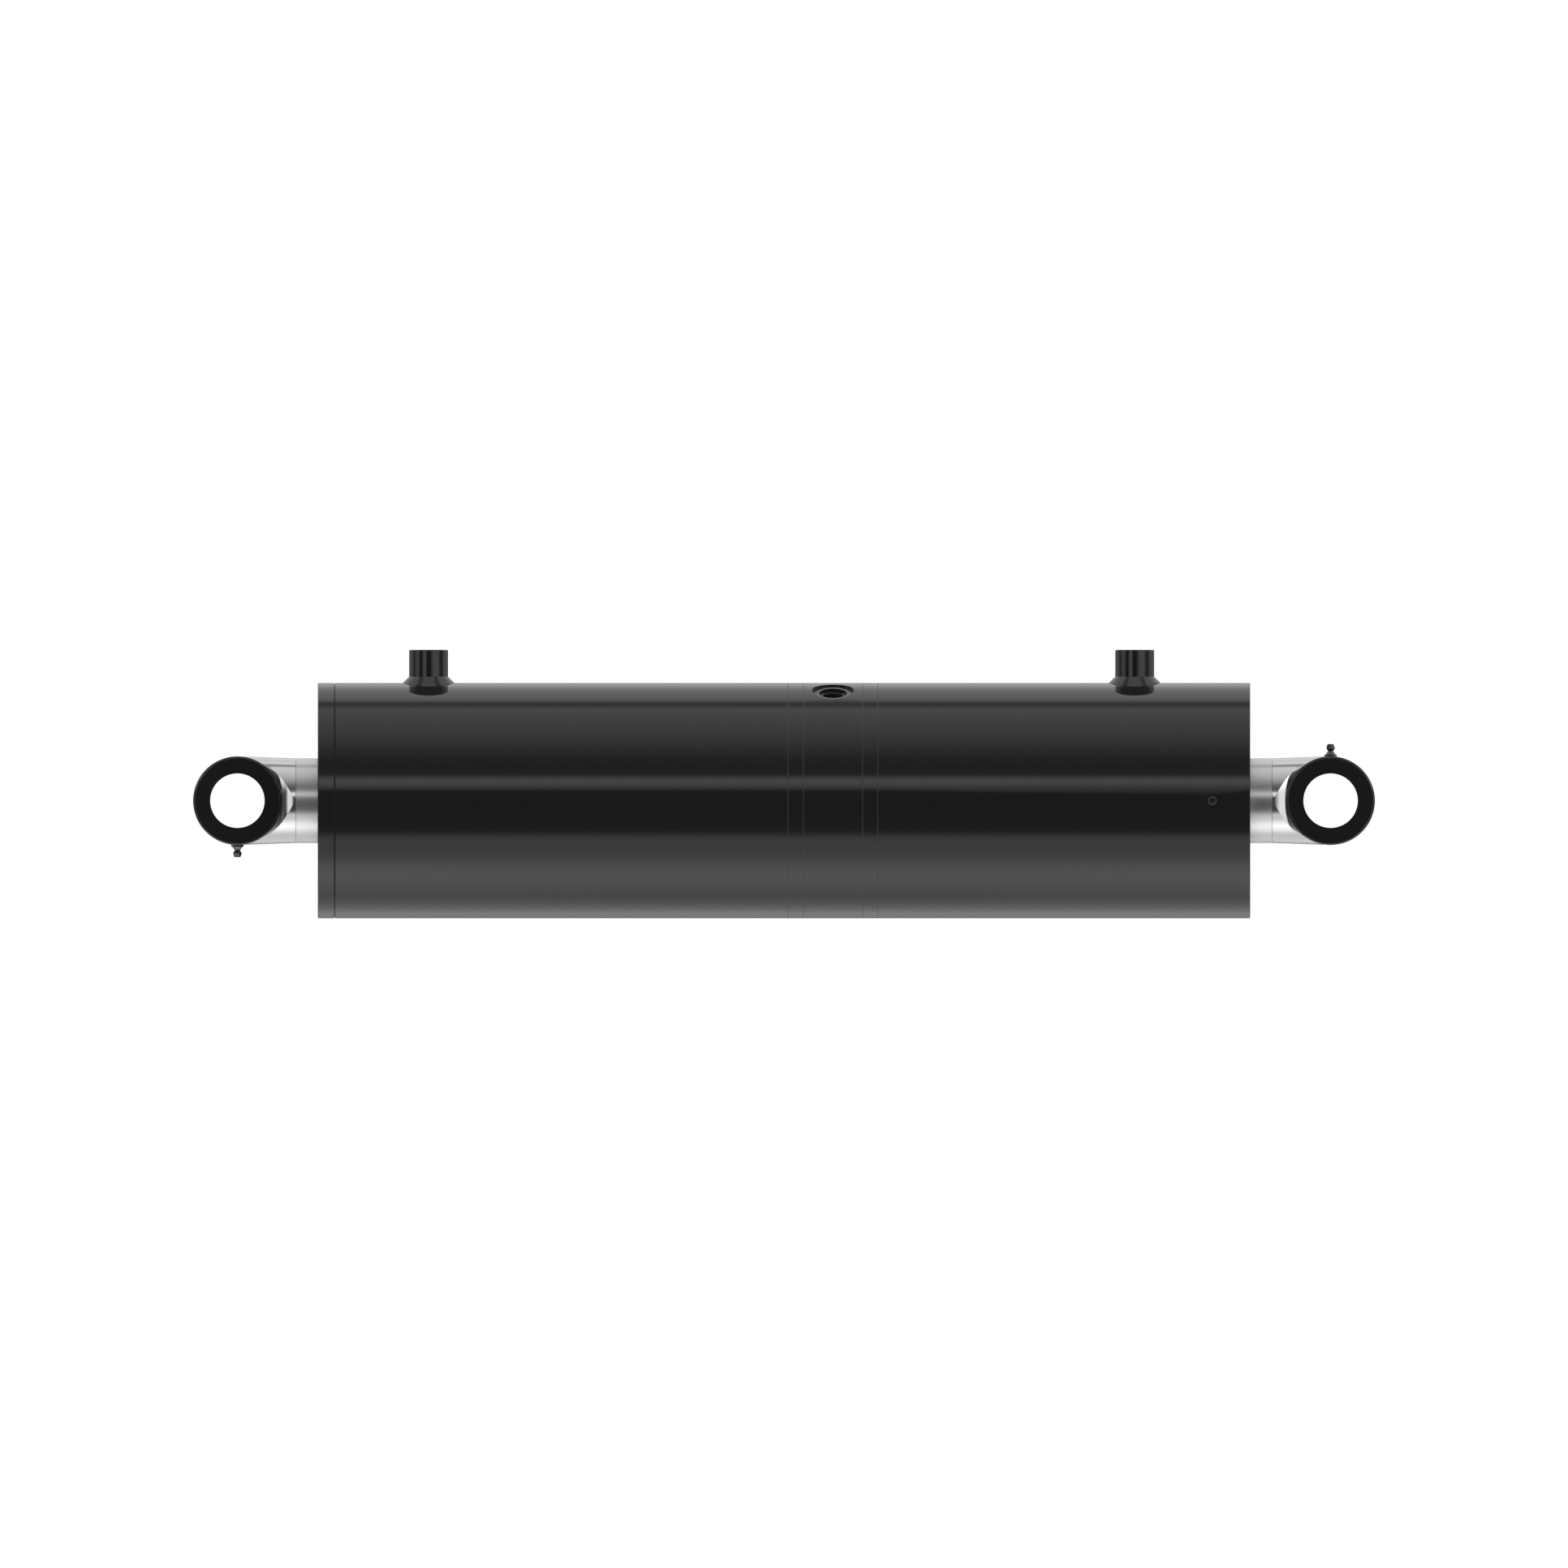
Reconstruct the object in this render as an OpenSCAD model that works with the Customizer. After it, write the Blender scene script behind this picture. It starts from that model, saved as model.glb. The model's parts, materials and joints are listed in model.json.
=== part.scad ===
// Opposed-rod hydraulic cylinder: one barrel, a rod with a pin eye out of each end.
// Millimetres. +X runs along the rods, +Z is up, and the ports open upwards.
// The origin is the centre of the left pin bore, with both rods fully in.

/* [Barrel] */
// Pin centre to pin centre with both rods in
closed_length = 813; // [808:1:820]
// Outside diameter of the barrel
barrel_d = 175; // [175:0.5:180]
// Bore of both tubes
bore_d = 150; // [149:0.5:150]
// Length of the barrel over its end faces
barrel_length = 693.5; // [690:0.5:694]
// Width of the small bevels on the barrel's outer edges
barrel_bevel = 0.6; // [0.3:0.1:0.8]

/* [Centre block] */
// Place of the block's centre along the rods
block_x = 442.9; // [438:0.1:448]
// Width of the block that shows between its welds
block_width = 44; // [40:1:50]
// Width of each circumferential weld on the surface
weld_width = 11.4; // [9:0.1:13]
// Length of the spigot that enters each tube
spigot_length = 16; // [12:1:20]
// Diameter of the middle chamber through the block
chamber_d = 84; // [82:1:90]
// Tilt of the centre port from straight up, towards -Y
centre_port_tilt = 20; // [15:1:25]

/* [Ports] */
// Place of the left port along the rods
left_port_x = 142.2; // [138:0.1:146]
// Place of the right port along the rods
right_port_x = 667.3; // [664:0.1:671]
// Outside diameter of the two welded bosses
boss_d = 29; // [28:0.1:31]
// Height of a boss's face above the barrel's axis
boss_top = 112.2; // [108:0.1:116]
// Leg of the fillet weld around a boss
boss_weld_leg = 4.8; // [4:0.1:5.5]
// Diameter of the port threads at their crests
port_bore_d = 17.5; // [17:0.1:17.8]
// Length of the port threads
port_bore_length = 15; // [13:0.5:16]
// Diameter of the seal seat at a port's mouth
port_seat_d = 20.6; // [20:0.1:21]
// Diameter of the spot face on the centre port
spot_face_d = 31.1; // [30:0.1:32]
// Height of the spot face's floor above the barrel's axis, along the port
spot_face_height = 85; // [84.5:0.1:86]
// Diameter of the oil way below each port
oil_way_d = 11; // [8:0.5:12]

/* [Glands] */
// Thickness of the left gland's collar
collar_width = 12.55; // [11:0.05:14]
// Depth of the right gland's face inside the tube
right_gland_recess = 0.5; // [0.3:0.1:1]
// Length of a gland where it fills the bore
gland_body_length = 65.5; // [62:0.5:68]
// Outside diameter of the gland's inner nose
nose_d = 116; // [112:1:120]
// Gap between a piston and its gland's nose when its rod is fully out
stroke_end_gap = 2; // [1.5:0.5:3]
// Place of the two lock screws along the rods
lock_screw_x = 725.1; // [723:0.1:727]
// Thread diameter of the lock screws
lock_screw_d = 8; // [8:0.5:10]

/* [Rods] */
// Diameter of both rods
rod_d = 63; // [62:0.5:63]
// Length of a rod's bright end, from the pin centre to its joint with the rod
rod_end_length = 43.5; // [42:0.5:45]
// Radius that rounds a rod end's cheeks towards the eye, seen from above
cheek_round = 22; // [20:0.5:32]
// Radius of the same cheeks across the rod
cheek_crown = 84; // [70:1:110]
// Travel of the left rod
left_stroke = 180; // [150:1:181]
// Travel of the right rod
right_stroke = 105; // [80:1:105]
// Length of a piston
piston_length = 62; // [60:0.5:62]
// Gap between a piston and the centre block when its rod is in
piston_rest_gap = 2; // [2:0.5:4]
// Diameter of the piston's seat on the rod
seat_d = 50; // [48:1:52]
// Thread diameter of the piston nut
nut_thread_d = 42; // [40:1:45]
// Width across the flats of the piston nut
nut_flats = 65; // [60:1:65]
// Height of the piston nut
nut_height = 30; // [26:1:32]

/* [Eyes] */
// Outside diameter of an eye
eye_d = 66; // [65:0.5:68]
// Diameter of the pin bore
pin_bore_d = 40.4; // [40.1:0.1:41]
// Width of an eye along its pin
eye_width = 62; // [60:1:63]
// Radius that rounds an eye's outer edges
eye_round = 1.7; // [1:0.1:2]
// Width across the flats of a grease nipple
nipple_flats = 8; // [7:0.5:8]

/* [Clearances] */
// Radial running clearance of rings and seals
run_gap = 0.05; // [0.03:0.01:0.08]
// Radial clearance of metal round a moving rod
rod_gap = 0.35; // [0.3:0.05:0.5]
// Radial clearance between parts that are screwed, pressed or welded together
seat_gap = 0.03; // [0.02:0.01:0.05]

/* [Hidden] */
$fn = 96;

// Colours
paint_black = "#202122";
chrome = "#d4d7da";
bright_steel = "#b9bcbf";
machined_steel = "#8d9094";
iron_grey = "#6f7478";
seal_green = "#3f6b52";
rubber_black = "#161616";
guide_brown = "#7a5a3a";
zinc = "#5d6064";

// Barrel
barrel_r = barrel_d / 2;
bore_r = bore_d / 2;
barrel_x0 = (closed_length - barrel_length) / 2;
barrel_x1 = barrel_x0 + barrel_length;
left_tube_x0 = barrel_x0 + collar_width;
lead_in = 4;                            // length of the bore's lead-in cone
lead_in_depth = 1;                      // radial depth of that cone

// Circumferential welds: a V between the tube's end and the block
weld_root = 3;                          // width of the V at the bore
weld_nick = 0.15;                       // little groove along each edge of a weld
left_weld_x = block_x - (block_width + weld_width) / 2;
right_weld_x = block_x + (block_width + weld_width) / 2;
spigot_r = bore_r - seat_gap;
spigot_x0 = block_x - block_width / 2 - spigot_length;
spigot_x1 = block_x + block_width / 2 + spigot_length;

// Places of the pistons with both rods in, and of the gland noses that stop them
left_piston_x1 = spigot_x0 - piston_rest_gap;
left_piston_x0 = left_piston_x1 - piston_length;
right_piston_x0 = spigot_x1 + piston_rest_gap;
left_nose_x = left_piston_x0 - left_stroke - stroke_end_gap;
right_nose_x = right_piston_x0 + piston_length + right_stroke + stroke_end_gap;

// Port details
port_bore_r = port_bore_d / 2;
port_seat_r = port_seat_d / 2;
port_seat_depth = 2.5;                  // depth of the seal seat's shallow cone
port_seat_taper = 0.5;                  // how much that cone narrows
drill_cone = 4;                         // depth of the drill's cone below the thread
oil_way_r = oil_way_d / 2;
boss_r = boss_d / 2;
boss_bevel = 0.5;
boss_weld_gap = 0.1;                    // radial gap of a boss's weld to the tube and the boss
fine_cut = 360;                         // facets of the barrel-shaped cut under a thin boss weld
boss_weld_drop = 12;                    // how far the weld's cone runs down before the tube cuts it

// Gland profile, measured from the gland's outer face towards the piston
nose_r = nose_d / 2;
gland_r = bore_r - run_gap;
gland_bore_r = rod_d / 2 + rod_gap;
gland_edge = 1.5;                       // bevel on a gland's inner edges
rod_r = rod_d / 2;
wiper_at = 0;
wiper_width = 7.2;
wiper_r = 37.6;
rod_seal_at = 14;
rod_seal_width = 12;
rod_seal_r = 39;
guide_at = [33, 79];
guide_width = 15;
guide_r = 34;
static_seal_at = 50;
static_seal_width = 9.4;
static_seal_r = 70.3;
backup_width = 2;
relief_at = 44;                         // run-out groove behind the gland's thread
relief_width = 3;
relief_depth = 2;
spanner_hole_d = 10;
spanner_hole_depth = 9;
spanner_circle_r = 56;
spanner_holes = 4;
spanner_turn = 45;                      // angle of the first spanner hole from straight up
collar_inner_r = gland_r - 10;          // where a collar's ring is joined to its gland
right_body_extra = 3;                   // how much longer the right gland's body is
left_gland_length = left_nose_x - barrel_x0;
right_gland_face = barrel_x1 - right_gland_recess;
right_gland_length = right_gland_face - right_nose_x;

// Lock screws
lock_screw_r = lock_screw_d / 2;
lock_screw_length = 12;
lock_dog_r = 2.75;
lock_dog_length = 3.5;
lock_dog_play = 0.5;                    // how far the dog stays clear of its hole's end
lock_tip_bevel = 1;
lock_countersink = 0.55;
lock_hex_flats = 4;
lock_hex_depth = 4;
lock_tilts = [0, 90];                   // one screw straight up, one towards -Y

// Piston details
piston_gap = 0.35;                      // radial clearance of the piston's metal
piston_r = bore_r - piston_gap;
seat_r = seat_d / 2;
seat_short = 1;                         // how far the seat stops short of the nut
nut_thread_r = nut_thread_d / 2;
thread_over = 3;                        // how far the thread stands out of the nut
piston_edge = 2;
piston_seal_at = 25.5;
piston_seal_width = 11;
piston_seal_r = 67;
piston_guide_at = [6, 46];
piston_guide_width = 10;
piston_guide_r = 72.4;
piston_oring_at = 42;
piston_oring_width = 4.6;
piston_oring_depth = 2.4;

// Rod ends and eyes
eye_r = eye_d / 2;
pin_bore_r = pin_bore_d / 2;
seam_nick = 0.35;                       // little groove where rod and rod end meet
rod_end_start = 5;                      // where the fish-mouth's lips begin
cheek_play = 0.1;                       // lets the cheeks start cleanly beside the joint with the rod
cheek_flat = 1.5;                       // straight stretch between a cheek's arc and the eye
mouth_open = 5;                         // how far the cheek shape runs past the pin
centring_r = 12.5;
centring_length = 8;
centring_bevel = 1;
centring_play = 0.5;                    // how far the spigot's end stays clear of its hole's end
nipple_thread_r = 2.5;
nipple_seat_r = 5.4;
nipple_seat_height = 32.6;
nipple_way_r = 1;
nipple_thread_length = 6.5;
nipple_hole_depth = 8;                  // depth of the nipple's threaded hole below its seat
nipple_hex_height = 1.6;
nipple_neck_r = 2.1;
nipple_head_r = 3.2;
nipple_bore_r = 0.75;
nipple_height = 9.5;
cut = 200;                              // longer than anything it cuts through

// ---- Shared shapes ----

// A profile of [radius, place along X] turned round the barrel's axis
module turned(profile) rotate([0, 90, 0]) rotate_extrude() polygon(profile);

// A plain ring round the barrel's axis
module ring(inner, outer, from, width) {
  turned([[inner, from], [outer, from], [outer, from + width], [inner, from + width]]);
}

// A full disc round the barrel's axis, for cutting
module disc(radius, from, width) translate([from, 0, 0]) rotate([0, 90, 0]) cylinder(r = radius, h = width);

// Puts a gland's shapes on the left: their +X runs from the outer face inwards
module at_left_gland() translate([barrel_x0, 0, 0]) children();

// The same on the right, mirrored
module at_right_gland() translate([right_gland_face, 0, 0]) mirror([1, 0, 0]) children();

// Puts a piston's shapes on the left: their +X runs from the rod side to the nut
module at_left_piston() translate([left_piston_x0, 0, 0]) children();

// The same on the right, mirrored
module at_right_piston() translate([right_piston_x0 + piston_length, 0, 0]) mirror([1, 0, 0]) children();

// Puts a rod end's shapes at the right eye, mirrored
module at_right_eye() translate([closed_length, 0, 0]) mirror([1, 0, 0]) children();

// ---- Barrel ----

// Half of a weld's width at a radius
function weld_half(r) = weld_root / 2 + (r - bore_r) * (weld_width - weld_root) / 2 / (barrel_r - bore_r);

// The tube's end at a weld, going outwards; side is -1 left of the weld and 1 right of it
function tube_end(weld_x, side) = [
  [barrel_r, weld_x + side * (weld_half(barrel_r) + weld_nick)],
  [barrel_r - weld_nick, weld_x + side * weld_half(barrel_r - weld_nick)],
  [bore_r, weld_x + side * weld_half(bore_r)]
];

// A flat-topped V of weld metal with a nick along both edges
module block_weld(weld_x) color(paint_black) {
  turned([
    [spigot_r, weld_x - weld_root / 2],
    [bore_r, weld_x - weld_root / 2],
    [barrel_r - weld_nick, weld_x - weld_half(barrel_r - weld_nick)],
    [barrel_r, weld_x - weld_half(barrel_r) + weld_nick],
    [barrel_r, weld_x + weld_half(barrel_r) - weld_nick],
    [barrel_r - weld_nick, weld_x + weld_half(barrel_r - weld_nick)],
    [bore_r, weld_x + weld_root / 2],
    [spigot_r, weld_x + weld_root / 2]
  ]);
}

module left_block_weld() block_weld(left_weld_x);

module right_block_weld() block_weld(right_weld_x);

// An oil way through the wall below a boss
module wall_oil_way(x) translate([x, 0, nose_r]) cylinder(r = oil_way_r, h = cut);

module left_tube() color(paint_black) difference() {
  turned(concat(
    [
      [bore_r, left_tube_x0 + lead_in],
      [bore_r + lead_in_depth, left_tube_x0],
      [barrel_r - barrel_bevel, left_tube_x0],
      [barrel_r, left_tube_x0 + barrel_bevel]
    ],
    tube_end(left_weld_x, -1)
  ));
  wall_oil_way(left_port_x);
}

// Puts a lock screw's shapes in place: their +Z points out of the barrel
module at_lock_screws() for (tilt = lock_tilts) {
  translate([lock_screw_x, 0, 0]) rotate([tilt, 0, 0]) children();
}

// A lock screw's hole: thread, and a small countersink on the surface
module lock_screw_hole() {
  flare = 2 * lock_countersink;
  translate([0, 0, nose_r]) cylinder(r = lock_screw_r, h = cut);
  translate([0, 0, barrel_r - lock_countersink]) {
    cylinder(r1 = lock_screw_r, r2 = lock_screw_r + flare, h = flare);
  }
}

module right_tube() color(paint_black) difference() {
  turned(concat(
    [
      [bore_r, barrel_x1 - lead_in],
      [bore_r + lead_in_depth, barrel_x1],
      [barrel_r - barrel_bevel, barrel_x1],
      [barrel_r, barrel_x1 - barrel_bevel]
    ],
    tube_end(right_weld_x, 1)
  ));
  wall_oil_way(right_port_x);
  at_lock_screws() lock_screw_hole();
}

// A straight-thread port with a seal seat, cut down from its face at z = 0
module port_cutter() {
  throat = port_seat_r - port_seat_taper;
  seat_end = port_seat_depth + throat - port_bore_r;
  thread_end = seat_end + port_bore_length;
  rotate_extrude() polygon([
    [0, 1],
    [port_seat_r, 1],
    [port_seat_r, 0],
    [throat, -port_seat_depth],
    [port_bore_r, -seat_end],
    [port_bore_r, -thread_end],
    [oil_way_r, -thread_end - (port_bore_r - oil_way_r) / 2],
    [0, -thread_end - (port_bore_r - oil_way_r) / 2]
  ]);
  translate([0, 0, -thread_end - drill_cone]) cylinder(r = oil_way_r, h = drill_cone);
}

module centre_block() color(paint_black) difference() {
  turned([
    [chamber_d / 2, spigot_x0],
    [spigot_r - piston_edge, spigot_x0],
    [spigot_r, spigot_x0 + piston_edge],
    [spigot_r, left_weld_x + weld_root / 2],
    [bore_r, left_weld_x + weld_root / 2],
    [barrel_r - weld_nick, left_weld_x + weld_half(barrel_r - weld_nick)],
    [barrel_r, left_weld_x + weld_half(barrel_r) + weld_nick],
    [barrel_r, right_weld_x - weld_half(barrel_r) - weld_nick],
    [barrel_r - weld_nick, right_weld_x - weld_half(barrel_r - weld_nick)],
    [bore_r, right_weld_x - weld_root / 2],
    [spigot_r, right_weld_x - weld_root / 2],
    [spigot_r, spigot_x1 - piston_edge],
    [spigot_r - piston_edge, spigot_x1],
    [chamber_d / 2, spigot_x1]
  ]);
  translate([block_x, 0, 0]) rotate([centre_port_tilt, 0, 0]) {
    translate([0, 0, spot_face_height]) cylinder(d = spot_face_d, h = cut);
    translate([0, 0, spot_face_height]) port_cutter();
    translate([0, 0, chamber_d / 4]) {
      cylinder(r = oil_way_r, h = spot_face_height - chamber_d / 4 - port_bore_length);
    }
  }
}

// A round boss that sits on the tube like a saddle
module port_boss(x) color(paint_black) difference() {
  boss_base = (bore_r + barrel_r) / 2;
  translate([x, 0, 0]) rotate_extrude() polygon([
    [0, boss_base],
    [boss_r, boss_base],
    [boss_r, boss_top - boss_bevel],
    [boss_r - boss_bevel, boss_top],
    [0, boss_top]
  ]);
  disc(barrel_r, x - boss_d, 2 * boss_d);
  translate([x, 0, boss_top]) port_cutter();
  translate([x, 0, bore_r]) cylinder(r = oil_way_r, h = boss_top - bore_r - port_bore_length);
}

module left_port_boss() port_boss(left_port_x);

module right_port_boss() port_boss(right_port_x);

// A straight-sided fillet that runs round the boss on the tube
module boss_weld(x) color(paint_black) difference() {
  inner = boss_r + boss_weld_gap;
  translate([x, 0, barrel_r + boss_weld_leg - boss_weld_drop]) rotate_extrude() polygon([
    [inner, 0],
    [boss_r + boss_weld_drop, 0],
    [inner, boss_weld_drop - boss_weld_gap]
  ]);
  disc(barrel_r + boss_weld_gap, x - boss_d, 2 * boss_d, $fn = fine_cut);
}

module left_boss_weld() boss_weld(left_port_x);

module right_boss_weld() boss_weld(right_port_x);

// ---- Glands and what they hold ----

// A gland from its outer face at x = 0: bore, seal grooves, body and nose
module gland(length, body_end, face_r, neck) difference() {
  turned([
    [gland_bore_r, 0],
    [face_r, 0],
    [gland_r, neck],
    [gland_r, body_end - gland_edge],
    [gland_r - gland_edge, body_end],
    [nose_r, body_end],
    [nose_r, length - gland_edge],
    [nose_r - gland_edge, length],
    [gland_bore_r, length]
  ]);
  disc(wiper_r, wiper_at - 1, wiper_width + 1);
  disc(rod_seal_r, rod_seal_at, rod_seal_width);
  for (at = guide_at) disc(guide_r, at, guide_width);
  ring(static_seal_r, cut, static_seal_at, static_seal_width);
  ring(gland_r - relief_depth, cut, relief_at, relief_width);
  for (i = [0 : spanner_holes - 1]) {
    rotate([i * 360 / spanner_holes + spanner_turn, 0, 0]) translate([-1, 0, spanner_circle_r]) {
      rotate([0, 90, 0]) cylinder(d = spanner_hole_d, h = spanner_hole_depth + 1);
    }
  }
}

module left_gland() color(paint_black) at_left_gland() union() {
  gland(left_gland_length, gland_body_length, gland_r, 0);
  turned([
    [collar_inner_r, 1],
    [gland_r, 0],
    [barrel_r - barrel_bevel, 0],
    [barrel_r, barrel_bevel],
    [barrel_r, collar_width - barrel_bevel],
    [barrel_r - barrel_bevel, collar_width],
    [collar_inner_r, collar_width]
  ]);
}

module right_gland() color(machined_steel) difference() {
  body_end = gland_body_length + right_body_extra;
  at_right_gland() gland(right_gland_length, body_end, gland_r - gland_edge, gland_edge);
  at_lock_screws() translate([0, 0, barrel_r - lock_screw_length - lock_dog_length]) {
    cylinder(r = lock_dog_r + seat_gap, h = cut);
  }
}

module gland_lock_screws() color(iron_grey) at_lock_screws() difference() {
  screw_base = barrel_r - lock_screw_length;
  rotate_extrude() polygon([
    [0, screw_base - lock_dog_length + lock_dog_play],
    [lock_dog_r, screw_base - lock_dog_length + lock_dog_play],
    [lock_dog_r, screw_base],
    [lock_screw_r - lock_tip_bevel, screw_base],
    [lock_screw_r - seat_gap, screw_base + lock_tip_bevel],
    [lock_screw_r - seat_gap, barrel_r - lock_tip_bevel],
    [lock_screw_r - lock_tip_bevel, barrel_r],
    [0, barrel_r]
  ]);
  translate([0, 0, barrel_r - lock_hex_depth]) {
    cylinder(d = lock_hex_flats / cos(30), h = cut, $fn = 6);
  }
}

// A round ring in a gland's outer groove
module gland_oring() {
  section_r = (bore_r - static_seal_r) / 2 - run_gap;
  rotate([0, 90, 0]) rotate_extrude() {
    translate([static_seal_r + run_gap + section_r, static_seal_at + static_seal_width - section_r - 1]) {
      circle(r = section_r, $fn = 32);
    }
  }
}

module left_gland_oring() color(rubber_black) at_left_gland() gland_oring();

module right_gland_oring() color(rubber_black) at_right_gland() gland_oring();

module gland_backup_ring() {
  ring(static_seal_r + run_gap, bore_r - run_gap, static_seal_at + run_gap, backup_width);
}

module left_gland_backup_ring() color("white") at_left_gland() gland_backup_ring();

module right_gland_backup_ring() color("white") at_right_gland() gland_backup_ring();

// A U-shaped lip seal: the open side faces the oil
module rod_seal() {
  inner = rod_r + run_gap;
  outer = rod_seal_r - run_gap;
  middle = (inner + outer) / 2;
  heel = rod_seal_at + run_gap;
  lips = rod_seal_at + rod_seal_width - 0.6;
  turned([
    [inner + 0.4, heel],
    [outer - 0.4, heel],
    [outer, heel + 0.8],
    [outer, lips - 1.5],
    [outer - 0.9, lips],
    [outer - 1.9, lips],
    [middle + 0.6, heel + 5],
    [middle - 0.6, heel + 5],
    [inner + 1.9, lips],
    [inner + 0.9, lips],
    [inner, lips - 1.5],
    [inner, heel + 0.8]
  ]);
}

module left_rod_seal() color(seal_green) at_left_gland() rod_seal();

module right_rod_seal() color(seal_green) at_right_gland() rod_seal();

// A wiper with one lip on the rod, level with the gland's face
module wiper() {
  inner = rod_r + run_gap;
  outer = wiper_r - run_gap;
  base = wiper_at + wiper_width - run_gap;
  turned([
    [inner + 0.5, base],
    [outer - 0.4, base],
    [outer, base - 0.6],
    [outer, wiper_at + 1.6],
    [outer - 0.8, wiper_at + 0.8],
    [inner + 3.4, wiper_at + 0.8],
    [inner + 2.8, wiper_at + 3.4],
    [inner + 1.3, wiper_at + 0.4],
    [inner + 0.3, wiper_at + 0.4],
    [inner, wiper_at + 1.4],
    [inner + 0.5, wiper_at + 3]
  ]);
}

module left_wiper() color(seal_green) at_left_gland() wiper();

module right_wiper() color(seal_green) at_right_gland() wiper();

// Two split guide rings; turn sets where their gaps lie
module split_rings(inner, outer, places, width, gap) for (i = [0 : len(places) - 1]) {
  difference() {
    ring(inner, outer, places[i] + run_gap, width - 2 * run_gap);
    rotate([60 + 180 * i, 0, 0]) translate([places[i], -gap / 2, inner - 5]) {
      cube([width, gap, outer - inner + 10]);
    }
  }
}

module rod_guides() split_rings(rod_r + run_gap, guide_r - run_gap, guide_at, guide_width, 2);

module left_rod_guides() color(guide_brown) at_left_gland() rod_guides();

module right_rod_guides() color(guide_brown) at_right_gland() rod_guides();

// ---- Rods ----

// A rod as seen from the left: seam to the pin at x = rod_end_length, piston seat at shoulder_x
module rod(shoulder_x) {
  thread_x0 = shoulder_x + piston_length;
  thread_x1 = thread_x0 + nut_height + thread_over;
  turned([
    [0, rod_end_length - centring_length],
    [centring_r - centring_bevel, rod_end_length - centring_length],
    [centring_r - seat_gap, rod_end_length - centring_length + centring_bevel],
    [centring_r - seat_gap, rod_end_length],
    [rod_r - seam_nick, rod_end_length],
    [rod_r, rod_end_length + seam_nick],
    [rod_r, shoulder_x],
    [seat_r, shoulder_x],
    [seat_r, thread_x0 - seat_short],
    [nut_thread_r, thread_x0 - seat_short],
    [nut_thread_r, thread_x1 - piston_edge],
    [nut_thread_r - piston_edge, thread_x1],
    [0, thread_x1]
  ]);
}

module left_rod() color(chrome) rod(left_piston_x0);

module right_rod() color(chrome) at_right_eye() rod(closed_length - right_piston_x0 - piston_length);

// The crowned shape that a rod end's front cheek follows: an arc at its joint, then straight to the eye
module cheek_shape() {
  arc_start = eye_r + cheek_flat;
  turn = asin((rod_end_length - arc_start) / cheek_round);
  arc_end_r = cheek_crown - cheek_round * (1 - cos(turn));
  arc_centre_r = cheek_crown - cheek_round;
  translate([0, cheek_crown - rod_r - cheek_play, 0]) rotate([0, 90, 0]) rotate_extrude() {
    difference() {
      polygon([
        [0, -mouth_open],
        [arc_end_r - (arc_start + mouth_open) * tan(turn), -mouth_open],
        [arc_end_r, arc_start],
        [cheek_crown, arc_start],
        [cheek_crown, rod_end_length],
        [0, rod_end_length]
      ]);
      difference() {
        translate([arc_centre_r, arc_start - 1]) square(cheek_round);
        translate([arc_centre_r, rod_end_length]) circle(r = cheek_round);
      }
    }
  }
}

// A bright bar that widens towards the eye, with two rounded cheeks and a fish-mouth for the eye
module rod_end() difference() {
  start_r = eye_r + (rod_r - eye_r) * rod_end_start / rod_end_length;
  intersection() {
    turned([
      [0, rod_end_start],
      [start_r, rod_end_start],
      [rod_r, rod_end_length - seam_nick],
      [rod_r - seam_nick, rod_end_length],
      [0, rod_end_length]
    ]);
    cheek_shape();
    mirror([0, 1, 0]) cheek_shape();
  }
  rotate([90, 0, 0]) cylinder(r = eye_r, h = cut, center = true);
  disc(centring_r, rod_end_length - centring_length - centring_play, centring_length + 1);
}

module left_rod_end() color(bright_steel) rod_end();

module right_rod_end() color(bright_steel) at_right_eye() rod_end();

// An eye with its nipple's seat on the side that up points to, 1 for +Z and -1 for -Z
module eye(up) difference() {
  wall = eye_r - pin_bore_r;
  rotate([90, 0, 0]) rotate_extrude() {
    translate([pin_bore_r, -eye_width / 2]) square([wall - eye_round, eye_width]);
    translate([pin_bore_r, eye_round - eye_width / 2]) square([wall, eye_width - 2 * eye_round]);
    for (side = [-1, 1]) {
      translate([eye_r - eye_round, side * (eye_width / 2 - eye_round)]) circle(r = eye_round);
    }
  }
  rotate([90 - 90 * up, 0, 0]) {
    cylinder(r = nipple_way_r, h = cut);
    translate([0, 0, nipple_seat_height - nipple_hole_depth]) {
      cylinder(r = nipple_thread_r + seat_gap, h = cut);
    }
    translate([0, 0, nipple_seat_height]) cylinder(r = nipple_seat_r, h = cut);
  }
}

module left_eye() color(paint_black) eye(-1);

module right_eye() color(paint_black) at_right_eye() eye(1);

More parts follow.
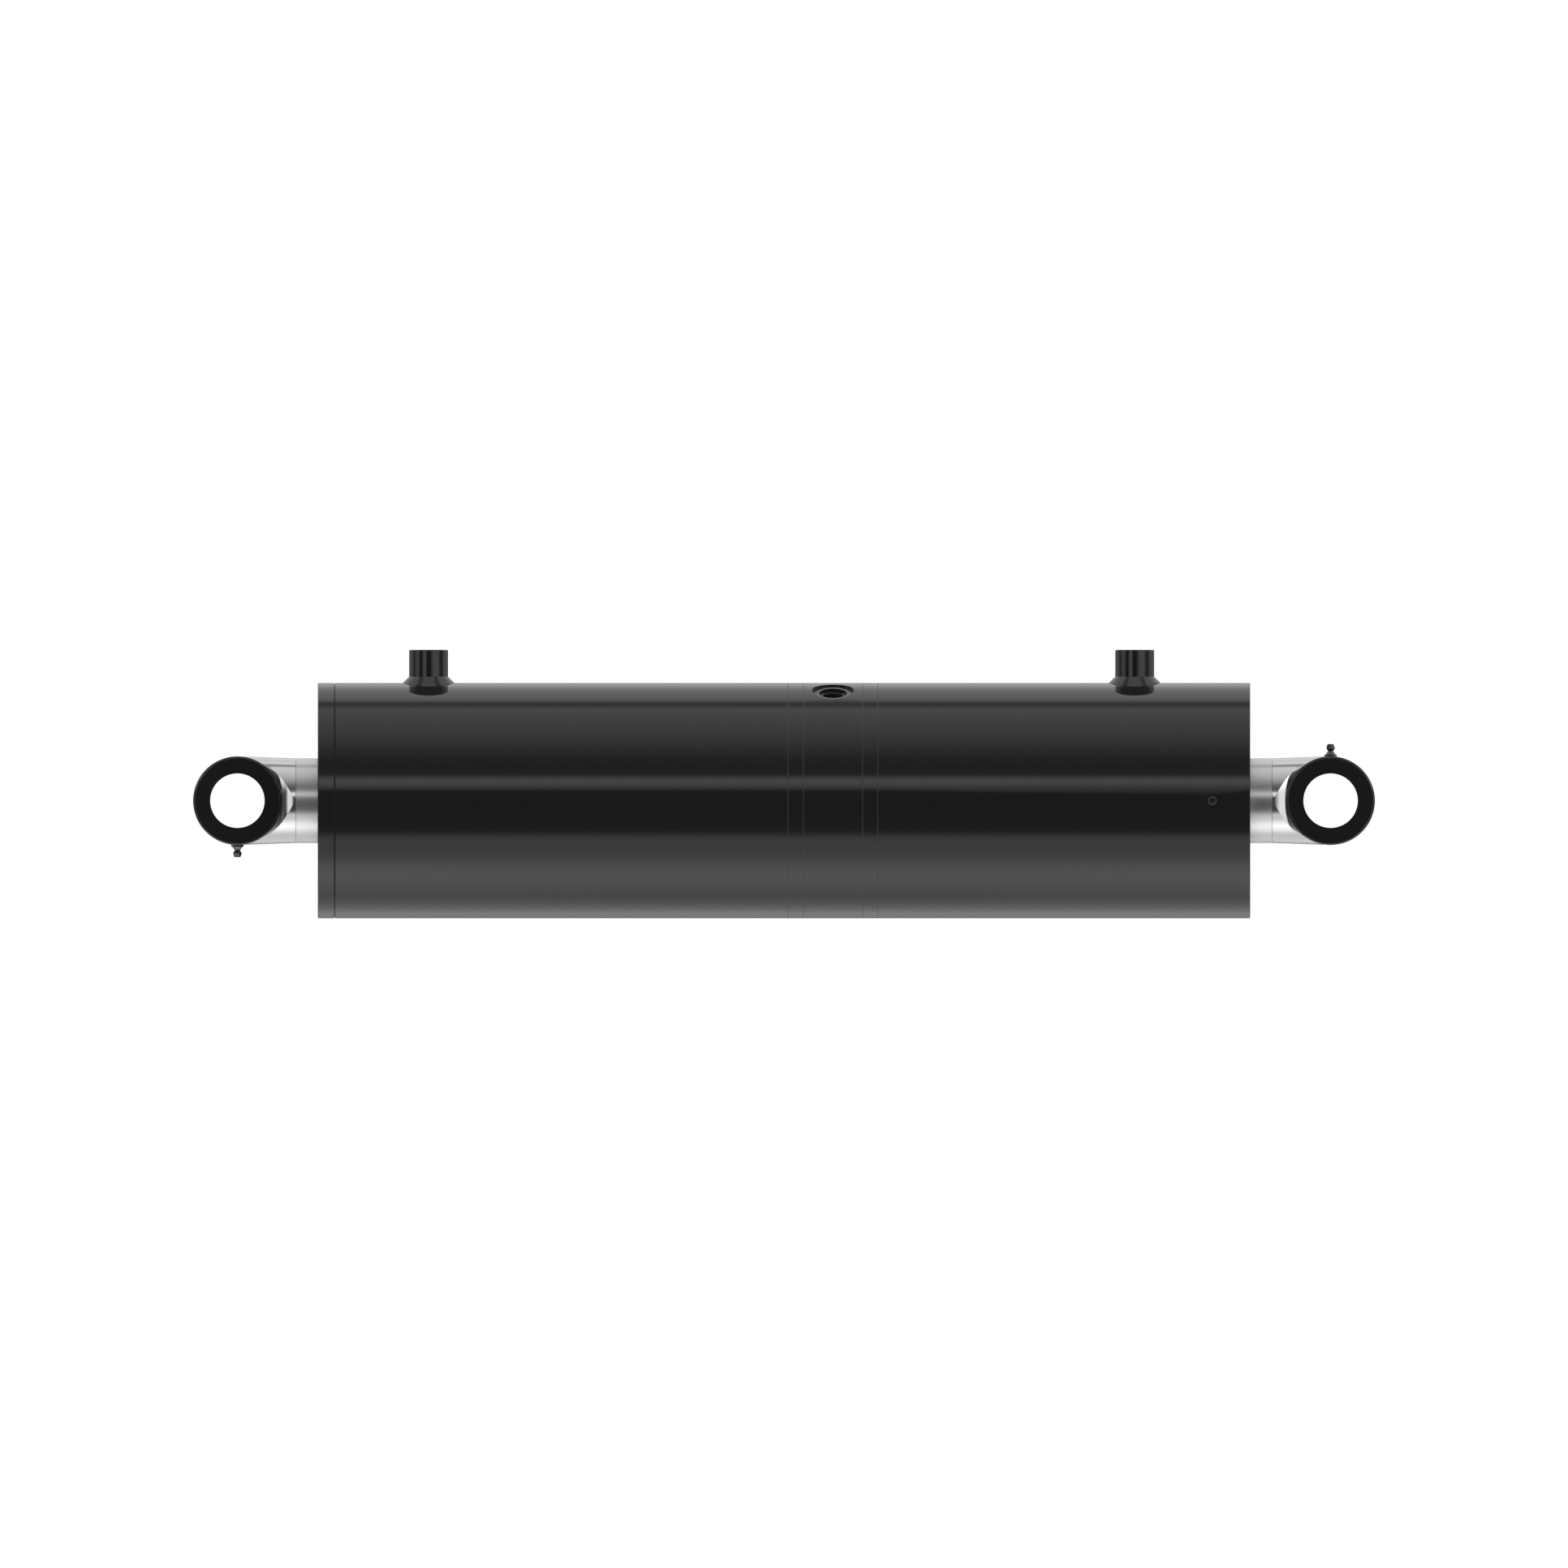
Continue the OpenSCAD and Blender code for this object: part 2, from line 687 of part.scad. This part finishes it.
// A grease nipple: threaded stem, hexagon, cone, neck and ball-shaped head
module grease_nipple(up) rotate([90 - 90 * up, 0, 0]) translate([0, 0, nipple_seat_height]) difference() {
  corner_r = nipple_flats / 2 / cos(30);
  mouth = 0.9;
  union() {
    translate([0, 0, -nipple_thread_length]) {
      cylinder(r = nipple_thread_r, h = nipple_thread_length + mouth);
    }
    cylinder(r = corner_r, h = nipple_hex_height, $fn = 6);
    rotate_extrude() polygon([
      [0, 0.5],
      [nipple_flats / 2, 0.5],
      [nipple_flats / 2, nipple_hex_height],
      [nipple_neck_r, 4.1],
      [nipple_neck_r, 4.5],
      [nipple_head_r, 6.1],
      [nipple_head_r, 6.9],
      [2.5, 8.9],
      [2.25, nipple_height],
      [0, nipple_height]
    ]);
  }
  translate([0, 0, -nipple_thread_length - 1]) cylinder(r = nipple_bore_r, h = 2 * nipple_height);
  translate([0, 0, nipple_height - mouth]) {
    cylinder(r1 = nipple_bore_r, r2 = nipple_bore_r + mouth, h = 1.5 * mouth);
  }
}

module left_grease_nipple() color(zinc) grease_nipple(-1);

module right_grease_nipple() color(zinc) at_right_eye() grease_nipple(1);

// ---- Pistons ----

// A piston from its rod side at x = 0 to its nut side
module piston() difference() {
  turned([
    [seat_r + seat_gap, 0],
    [piston_r - piston_edge, 0],
    [piston_r, piston_edge],
    [piston_r, piston_length - piston_edge],
    [piston_r - piston_edge, piston_length],
    [seat_r + seat_gap, piston_length]
  ]);
  ring(piston_seal_r, cut, piston_seal_at, piston_seal_width);
  for (at = piston_guide_at) ring(piston_guide_r, cut, at, piston_guide_width);
  disc(seat_r + piston_oring_depth, piston_oring_at, piston_oring_width);
}

module left_piston() color(iron_grey) at_left_piston() piston();

module right_piston() color(iron_grey) at_right_piston() piston();

module piston_nut() difference() {
  translate([piston_length, 0, 0]) rotate([0, 90, 0]) {
    cylinder(d = nut_flats / cos(30), h = nut_height, $fn = 6);
  }
  disc(nut_thread_r + seat_gap, piston_length - 1, nut_height + 2);
}

module left_piston_nut() color(iron_grey) at_left_piston() piston_nut();

module right_piston_nut() color(iron_grey) at_right_piston() piston_nut();

module piston_oring() {
  section_r = piston_oring_depth / 2 - run_gap;
  rotate([0, 90, 0]) rotate_extrude() {
    translate([seat_r + piston_oring_depth / 2, piston_oring_at + piston_oring_width / 2]) {
      circle(r = section_r, $fn = 32);
    }
  }
}

module left_piston_oring() color(rubber_black) at_left_piston() piston_oring();

module right_piston_oring() color(rubber_black) at_right_piston() piston_oring();

// The piston's seal: a stepped slide ring that fills its groove
module piston_seal() {
  inner = piston_seal_r + run_gap;
  outer = bore_r - run_gap;
  from = piston_seal_at + run_gap;
  to = piston_seal_at + piston_seal_width - run_gap;
  shoulder = 2;
  turned([
    [inner, from],
    [outer - 1, from],
    [outer - 1, from + shoulder],
    [outer, from + shoulder],
    [outer, to - shoulder],
    [outer - 1, to - shoulder],
    [outer - 1, to],
    [inner, to]
  ]);
}

module left_piston_seal() color(seal_green) at_left_piston() piston_seal();

module right_piston_seal() color(seal_green) at_right_piston() piston_seal();

module piston_guides() {
  split_rings(piston_guide_r + run_gap, bore_r - run_gap, piston_guide_at, piston_guide_width, 4);
}

module left_piston_guides() color(guide_brown) at_left_piston() piston_guides();

module right_piston_guides() color(guide_brown) at_right_piston() piston_guides();

left_tube();
right_tube();
centre_block();
left_block_weld();
right_block_weld();
left_port_boss();
right_port_boss();
left_boss_weld();
right_boss_weld();
left_gland();
right_gland();
gland_lock_screws();
left_gland_oring();
right_gland_oring();
left_gland_backup_ring();
right_gland_backup_ring();
left_rod_seal();
right_rod_seal();
left_wiper();
right_wiper();
left_rod_guides();
right_rod_guides();
left_rod();
right_rod();
left_rod_end();
right_rod_end();
left_eye();
right_eye();
left_grease_nipple();
right_grease_nipple();
left_piston();
right_piston();
left_piston_nut();
right_piston_nut();
left_piston_oring();
right_piston_oring();
left_piston_seal();
right_piston_seal();
left_piston_guides();
right_piston_guides();
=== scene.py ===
"""Studio scene of the opposed-rod hydraulic cylinder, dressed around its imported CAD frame. Metres."""

import json
import math

import bpy
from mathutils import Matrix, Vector


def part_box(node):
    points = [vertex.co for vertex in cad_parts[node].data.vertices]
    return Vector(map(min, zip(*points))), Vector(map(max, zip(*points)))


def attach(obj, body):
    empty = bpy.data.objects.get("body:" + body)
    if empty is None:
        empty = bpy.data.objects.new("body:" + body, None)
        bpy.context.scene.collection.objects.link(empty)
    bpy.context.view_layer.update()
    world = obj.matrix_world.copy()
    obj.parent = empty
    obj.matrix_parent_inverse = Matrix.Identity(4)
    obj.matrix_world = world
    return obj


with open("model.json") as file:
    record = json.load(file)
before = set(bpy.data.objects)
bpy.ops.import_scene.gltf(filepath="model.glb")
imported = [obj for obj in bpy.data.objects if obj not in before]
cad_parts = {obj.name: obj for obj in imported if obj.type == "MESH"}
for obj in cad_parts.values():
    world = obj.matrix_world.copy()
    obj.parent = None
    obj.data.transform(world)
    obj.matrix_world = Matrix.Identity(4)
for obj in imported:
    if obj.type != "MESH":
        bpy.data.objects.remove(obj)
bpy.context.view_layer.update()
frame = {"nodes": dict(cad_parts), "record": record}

NODES = frame["nodes"]
RECORD = frame["record"]
MOUNTS = {m["name"]: m for m in RECORD["mounts"]}
SLOT_OF = {row["node"]: row["material_slot"] for row in RECORD["subparts"]}

# ---- Places taken from the frame ----
LEFT_PIN = Vector(MOUNTS["left_pin_bore"]["pos_m"])
RIGHT_PIN = Vector(MOUNTS["right_pin_bore"]["pos_m"])
MIDDLE = (LEFT_PIN + RIGHT_PIN) / 2

# ---- Camera: level, straight at the cylinder's side, with parallel rays ----
CAMERA_HEIGHT = 0.0124
CAMERA_DISTANCE = 3.0
CAMERA_REACH = 20.0
VIEW_WIDTH = 1.1661

# ---- Paint, welds and threads ----
PAINT_BLACK = (0.0100, 0.0100, 0.0104)
PAINT_ROUGHNESS = (0.035, 0.075)
PEEL_DEPTH = 0.0000022
PEEL_SCALE = 420         # how fine the orange peel is
RIPPLE_SCALE = 150       # and a hand-made weld's ripples
CLOUD_SCALE = 14         # and the patches of changing gloss
WELD_RIPPLE = 30         # height of a hand-made weld's ripples, in orange-peel depths
SEAM_GLINT_GREY = 0.030        # painted highlight: a lighter paint colour that stands in for the glint along weld edges and the collar's joint
SEAM_ROUGHNESS = 0.35
SEAM_REACH = 0.00045
SEAMS = [end.x for weld in ("left_block_weld", "right_block_weld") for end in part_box(weld)]
SEAMS += [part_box("left_tube")[0].x]
THREAD_PITCH = 0.0016
THREAD_DEPTH = 0.0006
THREAD_STEPS = 48        # points in one turn of a thread
THREAD_ROOT = 0.44       # half the width of a thread's foot and of its crest, in pitches
THREAD_CREST = 0.06
THREAD_START = 0.02      # share of its depth that a thread has at its very ends
# painted shade: the thread in a port gets a darker black than plain paint and a weaker reflection, so
# the hole looks shaded
THREAD_SHADE_BLACK = (0.005, 0.005, 0.005)
THREAD_ROUGHNESS = (0.30, 0.40)
THREAD_SHADE_SHINE = 0.12      # strength of a thread's reflection, where plain paint has 0.5; kept low as painted shade in the port

# ---- Studio ----
FLOOR_DROP = 0.62        # how far the floor lies below the cylinder's axis
FLOOR_SIZE = 6.0
FLOOR_FADE = (0.60, 1.15)  # where the floor begins and ends its fade into the backdrop
FLOOR_PALE = (0.86, 0.86, 0.86, 1)
BACKDROP_WHITE = 1.0
FLOOR_GLOW = 0.80        # the floor is a light table: its own light, in a band beside the cylinder
FLOOR_GLOW_AT = -0.20    # the middle of that band
FLOOR_GLOW_REACH = 0.37  # how far the band reaches to either side of its middle
# Light that comes from each height, in degrees above the horizon, in front of the cylinder
FRONT_LIGHT = [
    (-90, 1.1), (-50, 1.05), (-40, 0.80), (-33, 0.22), (-27, 0.09), (-20, 0.07), (0, 0.06), (9, 0.07),
    (14.5, 0.9), (17, 1.2), (20, 1.2), (22.5, 0.80), (25.5, 0.22), (31, 0.12), (40, 0.16), (50, 0.35),
    (60, 0.56), (80, 0.80), (90, 0.90),
]
# and behind it
BACK_LIGHT = [
    (-90, 1.1), (-60, 0.95), (-30, 0.70), (-12, 0.30), (0, 0.25), (10, 0.45), (22, 0.90), (45, 0.85),
    (60, 1.0), (64, 0.80), (67, 0.36), (71, 0.30), (74, 0.50), (78, 0.90), (90, 0.90),
]
# Five upright soft boxes at the horizon: (middle, half width, light). The angles are in degrees towards
# +X from -Y, in rising order, and no two boxes overlap
SOFT_BOXES = [(-120, 28, 0.30), (-71, 21, 0.78), (-24, 15, 1.05), (43, 33, 1.08), (110, 34, 0.40)]
SOFT_BOX_FLAT = 0.4      # share of a box's half width that is fully lit, before its soft edge
# How bright a soft box is at each height
SOFT_BOX_HEIGHTS = [
    (-90, 0.0), (-45, 0.0), (-25, 0.8), (-12, 1.0), (14, 1.0), (30, 0.7), (48, 0.0), (90, 0.0),
]
FRONT_TO_BACK = 0.10     # how far to either side of the X axis's plane front and back light mix
TOP_LIGHT_SIZE = (3.0, 2.4)
TOP_LIGHT_HEIGHT = 1.8
TOP_LIGHT_WATTS = 26

# ---- Metals ----
GRAIN_STRETCH = 60       # how much longer than wide the marks of turning are


# ---- Node helpers ----
def new_tree(owner):
    """Empties an owner's node tree and returns its nodes and links."""
    owner.use_nodes = True
    tree = owner.node_tree
    tree.nodes.clear()
    return tree.nodes, tree.links


def node(nodes, kind, **values):
    """Adds a node; a value whose name is an input's sets that input, any other sets a property."""
    made = nodes.new(kind)
    for name, value in values.items():
        label = name.replace("_", " ")
        if label in made.inputs:
            made.inputs[label].default_value = value
        else:
            setattr(made, name, value)
    return made


def math_node(nodes, links, operation, first, second=0.0, clamp=False):
    """A Math node with each input a number or a socket; returns its output."""
    made = nodes.new("ShaderNodeMath")
    made.operation = operation
    made.use_clamp = clamp
    for socket, value in zip(made.inputs, (first, second)):
        if isinstance(value, bpy.types.NodeSocket):
            links.new(value, socket)
        else:
            socket.default_value = value
    return made.outputs[0]


def ramp(nodes, links, source, stops, interpolation="LINEAR"):
    """A colour ramp over [(position, grey)], driven by a socket; returns its output."""
    made = nodes.new("ShaderNodeValToRGB")
    made.color_ramp.interpolation = interpolation
    elements = made.color_ramp.elements
    while len(elements) < len(stops):
        elements.new(1.0)
    for element, (position, grey) in zip(elements, stops):
        element.position = position
        element.color = (grey, grey, grey, 1)
    links.new(source, made.inputs[0])
    return made.outputs[0]


# ---- Studio light ----
def by_angle(nodes, links, angle, table, whole_turn):
    """Looks a table of [(degrees, light)] up at an angle in radians; returns the light's socket."""
    place = math_node(nodes, links, "MULTIPLY_ADD", angle, math.degrees(1) / whole_turn)
    place.node.inputs[2].default_value = 0.5
    return ramp(nodes, links, place, [(0.5 + degrees / whole_turn, value) for degrees, value in table])


def smooth_step(nodes, links, source, start, end):
    """0 at start and 1 at end, softly in between; returns a socket."""
    made = node(nodes, "ShaderNodeMapRange", From_Min=start, From_Max=end)
    made.interpolation_type = "SMOOTHSTEP"
    links.new(source, made.inputs["Value"])
    return made.outputs[0]


def soft_box_table():
    """The light of all the soft boxes by direction, as [(degrees, light)] from left to right."""
    table = [(-180, 0.0)]
    for middle, half, light in SOFT_BOXES:
        flat = half * SOFT_BOX_FLAT
        table += [(middle - half, 0.0), (middle - flat, light)]
        table += [(middle + flat, light), (middle + half, 0.0)]
    return table + [(180, 0.0)]


def make_world():
    """Bands of light by height, and upright soft boxes; the camera itself sees plain white."""
    world = bpy.data.worlds.new("studio")
    bpy.context.scene.world = world
    nodes, links = new_tree(world)
    way = node(nodes, "ShaderNodeTexCoord")
    split = node(nodes, "ShaderNodeSeparateXYZ")
    links.new(way.outputs["Generated"], split.inputs[0])
    height = math_node(nodes, links, "ARCSINE", split.outputs["Z"])
    towards = math_node(nodes, links, "MULTIPLY", split.outputs["Y"], -1.0)
    turn = math_node(nodes, links, "ARCTAN2", split.outputs["X"], towards)
    front = by_angle(nodes, links, height, FRONT_LIGHT, 180)
    back = by_angle(nodes, links, height, BACK_LIGHT, 180)
    behind = smooth_step(nodes, links, split.outputs["Y"], -FRONT_TO_BACK, FRONT_TO_BACK)
    bands = node(nodes, "ShaderNodeMix", data_type="FLOAT")
    links.new(behind, bands.inputs["Factor"])
    links.new(front, bands.inputs["A"])
    links.new(back, bands.inputs["B"])
    boxes = by_angle(nodes, links, turn, soft_box_table(), 360)
    tall = by_angle(nodes, links, height, SOFT_BOX_HEIGHTS, 180)
    boxes = math_node(nodes, links, "MULTIPLY", boxes, tall)
    light = math_node(nodes, links, "ADD", bands.outputs["Result"], boxes)
    surround = node(nodes, "ShaderNodeBackground", Strength=1.0)
    links.new(light, surround.inputs["Color"])
    white = node(nodes, "ShaderNodeBackground", Color=(1, 1, 1, 1), Strength=BACKDROP_WHITE)
    seen = node(nodes, "ShaderNodeLightPath")
    pick = node(nodes, "ShaderNodeMixShader")
    out = node(nodes, "ShaderNodeOutputWorld")
    links.new(seen.outputs["Is Camera Ray"], pick.inputs[0])
    links.new(surround.outputs[0], pick.inputs[1])
    links.new(white.outputs[0], pick.inputs[2])
    links.new(pick.outputs[0], out.inputs[0])


def make_floor():
    """A pale floor below the cylinder that fades into the backdrop."""
    size = FLOOR_SIZE / 2
    mesh = bpy.data.meshes.new("floor")
    corners = [(-size, -size, 0), (size, -size, 0), (size, size, 0), (-size, size, 0)]
    mesh.from_pydata(corners, [], [(0, 1, 2, 3)])
    floor = bpy.data.objects.new("floor", mesh)
    floor.location = (MIDDLE.x, 0, -FLOOR_DROP)
    bpy.context.scene.collection.objects.link(floor)
    material = bpy.data.materials.new("floor")
    nodes, links = new_tree(material)
    place = node(nodes, "ShaderNodeTexCoord")
    split = node(nodes, "ShaderNodeSeparateXYZ")
    links.new(place.outputs["Object"], split.inputs[0])
    past_end = math_node(nodes, links, "ABSOLUTE", split.outputs["X"])
    past_end = math_node(nodes, links, "SUBTRACT", past_end, (RIGHT_PIN.x - LEFT_PIN.x) / 2)
    past_end = math_node(nodes, links, "MAXIMUM", past_end, 0.0)
    along = math_node(nodes, links, "POWER", past_end, 2)
    across = math_node(nodes, links, "POWER", split.outputs["Y"], 2)
    away = math_node(nodes, links, "SQRT", math_node(nodes, links, "ADD", along, across))
    fade = smooth_step(nodes, links, away, *FLOOR_FADE)
    pale = node(nodes, "ShaderNodeBsdfDiffuse", Color=FLOOR_PALE)
    glow = node(nodes, "ShaderNodeEmission")
    near = math_node(nodes, links, "SUBTRACT", split.outputs["Y"], FLOOR_GLOW_AT)
    near = math_node(nodes, links, "ABSOLUTE", near)
    near = smooth_step(nodes, links, near, FLOOR_GLOW_REACH, 0.0)
    links.new(math_node(nodes, links, "MULTIPLY", near, FLOOR_GLOW), glow.inputs["Strength"])
    table = node(nodes, "ShaderNodeAddShader")
    links.new(pale.outputs[0], table.inputs[0])
    links.new(glow.outputs[0], table.inputs[1])
    clear = node(nodes, "ShaderNodeBsdfTransparent")
    mix = node(nodes, "ShaderNodeMixShader")
    out = node(nodes, "ShaderNodeOutputMaterial")
    links.new(fade, mix.inputs[0])
    links.new(table.outputs[0], mix.inputs[1])
    links.new(clear.outputs[0], mix.inputs[2])
    links.new(mix.outputs[0], out.inputs[0])
    mesh.materials.append(material)


def make_top_light():
    """A large soft light overhead that keeps the floor pale; it doesn't show in reflections."""
    data = bpy.data.lights.new("top_light", "AREA")
    data.shape = "RECTANGLE"
    data.size, data.size_y = TOP_LIGHT_SIZE
    data.energy = TOP_LIGHT_WATTS
    lamp = bpy.data.objects.new("top_light", data)
    lamp.location = (MIDDLE.x, 0, TOP_LIGHT_HEIGHT)
    lamp.visible_glossy = False
    lamp.visible_camera = False
    bpy.context.scene.collection.objects.link(lamp)


def make_camera():
    data = bpy.data.cameras.new("camera")
    data.type = "ORTHO"
    data.ortho_scale = VIEW_WIDTH
    data.clip_end = CAMERA_REACH
    camera = bpy.data.objects.new("camera", data)
    camera.location = (MIDDLE.x, -CAMERA_DISTANCE, CAMERA_HEIGHT)
    camera.rotation_euler = (math.radians(90), 0, 0)
    bpy.context.scene.collection.objects.link(camera)
    bpy.context.scene.camera = camera


# ---- Materials ----
def metal_base(name, color, metallic, roughness):
    """A material with a Principled shader, its nodes, its links and the shader."""
    material = bpy.data.materials.new(name)
    nodes, links = new_tree(material)
    shader = node(nodes, "ShaderNodeBsdfPrincipled", Metallic=metallic, Roughness=roughness)
    shader.inputs["Base Color"].default_value = (*color, 1)
    out = node(nodes, "ShaderNodeOutputMaterial")
    links.new(shader.outputs[0], out.inputs[0])
    return material, nodes, links, shader


def object_place(nodes, links, scale=(1, 1, 1)):
    """Object coordinates, stretched; returns a vector socket."""
    place = node(nodes, "ShaderNodeTexCoord")
    mapping = node(nodes, "ShaderNodeMapping", Scale=scale)
    links.new(place.outputs["Object"], mapping.inputs["Vector"])
    return mapping.outputs[0]


def bump(nodes, links, shader, height, distance, strength=1.0):
    made = node(nodes, "ShaderNodeBump", Strength=strength, Distance=distance)
    links.new(height, made.inputs["Height"])
    links.new(made.outputs[0], shader.inputs["Normal"])


def near_seams(nodes, links, places, reach):
    """1 at the given places along X and 0 further than reach from all of them; returns a socket."""
    where = node(nodes, "ShaderNodeTexCoord")
    split = node(nodes, "ShaderNodeSeparateXYZ")
    links.new(where.outputs["Object"], split.inputs[0])
    nearest = 1.0
    for place in places:
        gap = math_node(nodes, links, "SUBTRACT", split.outputs["X"], place)
        gap = math_node(nodes, links, "ABSOLUTE", gap)
        nearest = math_node(nodes, links, "MINIMUM", gap, nearest)
    return smooth_step(nodes, links, nearest, reach, reach / 2)


def black_paint(name="black_paint", ripple=0.0, color=PAINT_BLACK, roughness=PAINT_ROUGHNESS, shine=0.5):
    """Gloss black enamel: orange peel, changing gloss, and a rougher line at each weld and joint whose
    lighter colour is a painted highlight.
    """
    material, nodes, links, shader = metal_base(name, color, 0, roughness[0])
    shader.inputs["Specular IOR Level"].default_value = shine
    place = object_place(nodes, links)
    peel = node(nodes, "ShaderNodeTexNoise", Scale=PEEL_SCALE, Detail=2.0)
    links.new(place, peel.inputs["Vector"])
    beads = node(nodes, "ShaderNodeTexNoise", Scale=RIPPLE_SCALE, Detail=1.0)
    links.new(place, beads.inputs["Vector"])
    ripples = math_node(nodes, links, "MULTIPLY", beads.outputs[0], ripple)
    surface = math_node(nodes, links, "ADD", peel.outputs[0], ripples)
    bump(nodes, links, shader, surface, PEEL_DEPTH)
    cloud = node(nodes, "ShaderNodeTexNoise", Scale=CLOUD_SCALE, Detail=4.0)
    links.new(place, cloud.inputs["Vector"])
    gloss = node(nodes, "ShaderNodeMapRange", To_Min=roughness[0], To_Max=roughness[1])
    links.new(cloud.outputs[0], gloss.inputs["Value"])
    seam = near_seams(nodes, links, SEAMS, SEAM_REACH)
    rough = node(nodes, "ShaderNodeMix", data_type="FLOAT", B=SEAM_ROUGHNESS)
    links.new(seam, rough.inputs["Factor"])
    links.new(gloss.outputs[0], rough.inputs["A"])
    links.new(rough.outputs["Result"], shader.inputs["Roughness"])
    # painted highlight: along each seam the base colour turns lighter, standing in for a glint
    tone = node(nodes, "ShaderNodeMapRange", To_Min=color[0], To_Max=SEAM_GLINT_GREY)
    links.new(seam, tone.inputs["Value"])
    links.new(tone.outputs[0], shader.inputs["Base Color"])
    return material


def turned_metal(name, color, roughness, spread, lines, depth):
    """Steel with fine lines that run round the X axis, as a lathe or a grinder leaves them."""
    material, nodes, links, shader = metal_base(name, color, 1, roughness)
    place = object_place(nodes, links, (lines, lines / GRAIN_STRETCH, lines / GRAIN_STRETCH))
    grain = node(nodes, "ShaderNodeTexNoise", Scale=1.0, Detail=3.0)
    links.new(place, grain.inputs["Vector"])
    rough = node(nodes, "ShaderNodeMapRange", To_Min=roughness - spread, To_Max=roughness + spread)
    links.new(grain.outputs[0], rough.inputs["Value"])
    links.new(rough.outputs[0], shader.inputs["Roughness"])
    bump(nodes, links, shader, grain.outputs[0], depth)
    return material


def moulded(name, color, roughness, grain=900, depth=0.000004):
    """A seal or ring: one colour, with a fine moulded grain."""
    material, nodes, links, shader = metal_base(name, color, 0, roughness)
    place = object_place(nodes, links)
    fine = node(nodes, "ShaderNodeTexNoise", Scale=grain, Detail=2.0)
    links.new(place, fine.inputs["Vector"])
    bump(nodes, links, shader, fine.outputs[0], depth)
    return material


def make_materials():
    """Every slot's material. A turned metal has colour, roughness, its spread, lines and their depth."""
    return {
        "black_paint": black_paint(),
        "machined_steel": turned_metal("machined_steel", (0.42, 0.43, 0.44), 0.30, 0.06, 5000, 0.000002),
        "black_oxide": moulded("black_oxide", (0.03, 0.03, 0.032), 0.35),
        "chrome": turned_metal("chrome", (0.62, 0.62, 0.62), 0.27, 0.02, 9000, 0.0000004),
        "bright_steel": turned_metal("bright_steel", (0.62, 0.62, 0.62), 0.12, 0.03, 9000, 0.0000004),
        "zinc_steel": turned_metal("zinc_steel", (0.12, 0.12, 0.125), 0.2, 0.05, 5000, 0.000001),
        "ductile_iron": turned_metal("ductile_iron", (0.13, 0.13, 0.14), 0.4, 0.05, 4000, 0.000002),
        "polyurethane": moulded("polyurethane", (0.05, 0.14, 0.09), 0.45),
        "nitrile_rubber": moulded("nitrile_rubber", (0.012, 0.012, 0.012), 0.5),
        "ptfe": moulded("ptfe", (0.75, 0.75, 0.72), 0.4),
        "guide_resin": moulded("guide_resin", (0.20, 0.11, 0.05), 0.5),
    }


def dress_cad_nodes(materials):
    """Gives each CAD node its slot's material; the two hand-made boss welds get rippled paint."""
    ripple = black_paint("rippled_paint", WELD_RIPPLE)
    for name, obj in NODES.items():
        obj.data.materials.clear()
        obj.data.materials.append(ripple if name.endswith("_boss_weld") else materials[SLOT_OF[name]])


# ---- Pieces ----
def thread_ridge(name, port, material):
    """The helical thread in a port: a ridge on the wall of its bore, fading out at both ends."""
    mount = MOUNTS[port]
    middle = Vector(mount["pos_m"])
    axis = Vector(mount["axis"]).normalized()
    side = axis.orthogonal().normalized()
    other = axis.cross(side)
    wall = mount["dims"]["r_mm"] / 1000
    length = mount["dims"]["length_mm"] / 1000 - THREAD_PITCH
    steps = round(length / THREAD_PITCH * THREAD_STEPS)
    verts = []
    for step in range(steps + 1):
        angle = math.tau * step / THREAD_STEPS
        out = side * math.cos(angle) + other * math.sin(angle)
        start = middle + axis * (length * (step / steps - 0.5))
        to_end = min(step, steps - step)
        depth = THREAD_DEPTH * min(1.0, 2 * to_end / THREAD_STEPS + THREAD_START)
        profile = ((0, -THREAD_ROOT), (depth, -THREAD_CREST), (depth, THREAD_CREST), (0, THREAD_ROOT))
        for inwards, along in profile:
            verts.append(start + out * (wall - inwards) + axis * (along * THREAD_PITCH))
    faces = [(0, 1, 2, 3), tuple(4 * steps + corner for corner in (3, 2, 1, 0))]
    for step in range(steps):
        for corner in range(4):
            a = 4 * step + corner
            b = 4 * step + (corner + 1) % 4
            faces.append((a, a + 4, b + 4, b))
    mesh = bpy.data.meshes.new(name)
    mesh.from_pydata(verts, [], faces)
    mesh.materials.append(material)
    ridge = bpy.data.objects.new(name, mesh)
    bpy.context.scene.collection.objects.link(ridge)
    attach(ridge, "barrel")


scene = bpy.context.scene
scene.view_settings.view_transform = "Standard"
make_camera()
make_world()
make_floor()
make_top_light()
MATERIALS = make_materials()
dress_cad_nodes(MATERIALS)
# painted shade: darker, duller paint for the threads inside the ports
THREAD_SHADE_PAINT = black_paint("thread_shade_paint", 0.0, THREAD_SHADE_BLACK, THREAD_ROUGHNESS, THREAD_SHADE_SHINE)
for port in ("left_port", "right_port", "centre_port"):
    thread_ridge(port + "_thread", port, THREAD_SHADE_PAINT)
